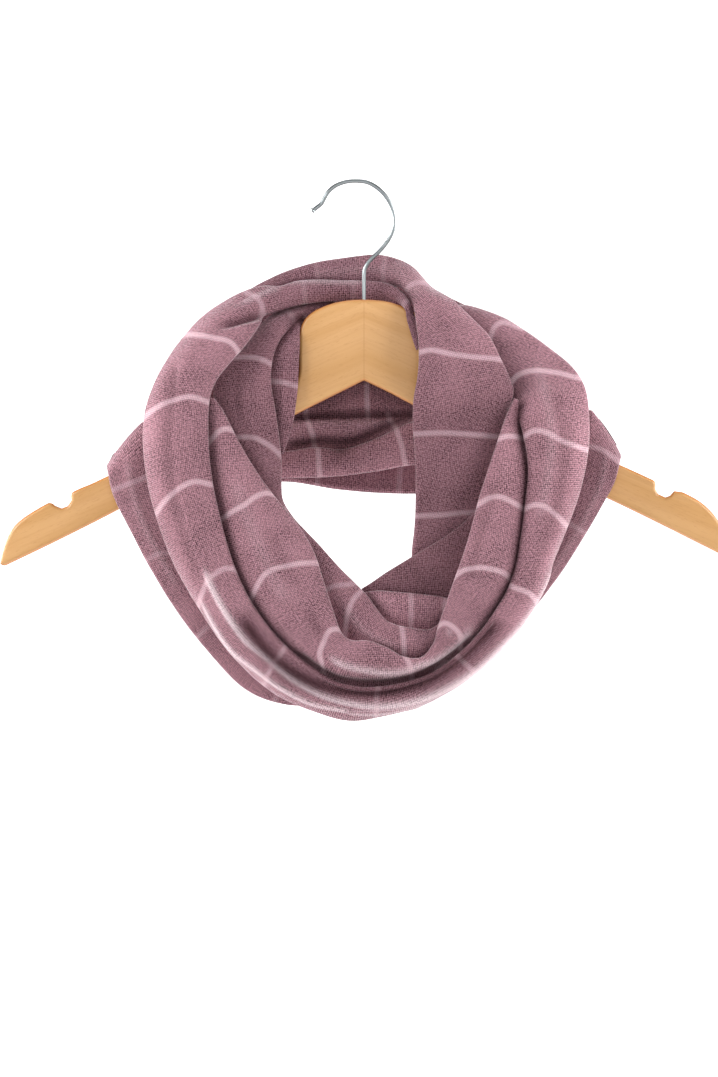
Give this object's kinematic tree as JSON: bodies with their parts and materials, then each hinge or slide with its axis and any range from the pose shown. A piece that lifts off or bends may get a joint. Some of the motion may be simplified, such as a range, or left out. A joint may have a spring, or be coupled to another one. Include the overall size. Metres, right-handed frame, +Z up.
{
  "type": "neck scarf on a hanger",
  "caption": "Soft knit loop scarf with fine cross stripes, wound twice and hung over a notched wooden clothes hanger with a wire hook.",
  "frame": {"origin": "underside of the top of the wire hook's crook, where the hanger hangs", "axes": "+X along the hanger to the viewer's right, +Y away from the viewer, +Z up"},
  "size_m": [0.446, 0.1031, 0.3318],
  "materials": {
    "scarf_knit": "soft brushed knit, heathered",
    "hanger_wood": "clear satin lacquer",
    "hanger_wire": "bright chrome"
  },
  "bodies": {
    "root": {"front_outer": "scarf_knit", "front_inner": "scarf_knit", "under_front": "scarf_knit", "under_back": "scarf_knit", "back_lower": "scarf_knit", "back_upper": "scarf_knit", "neck_wrap": "scarf_knit", "neck_roll": "scarf_knit", "inner_left": "scarf_knit", "neck_left": "scarf_knit", "inner_right": "scarf_knit", "inner_cradle": "scarf_knit", "hanger_wood": "hanger_wood", "hanger_hook": "hanger_wire"}
  },
  "joints": []
}
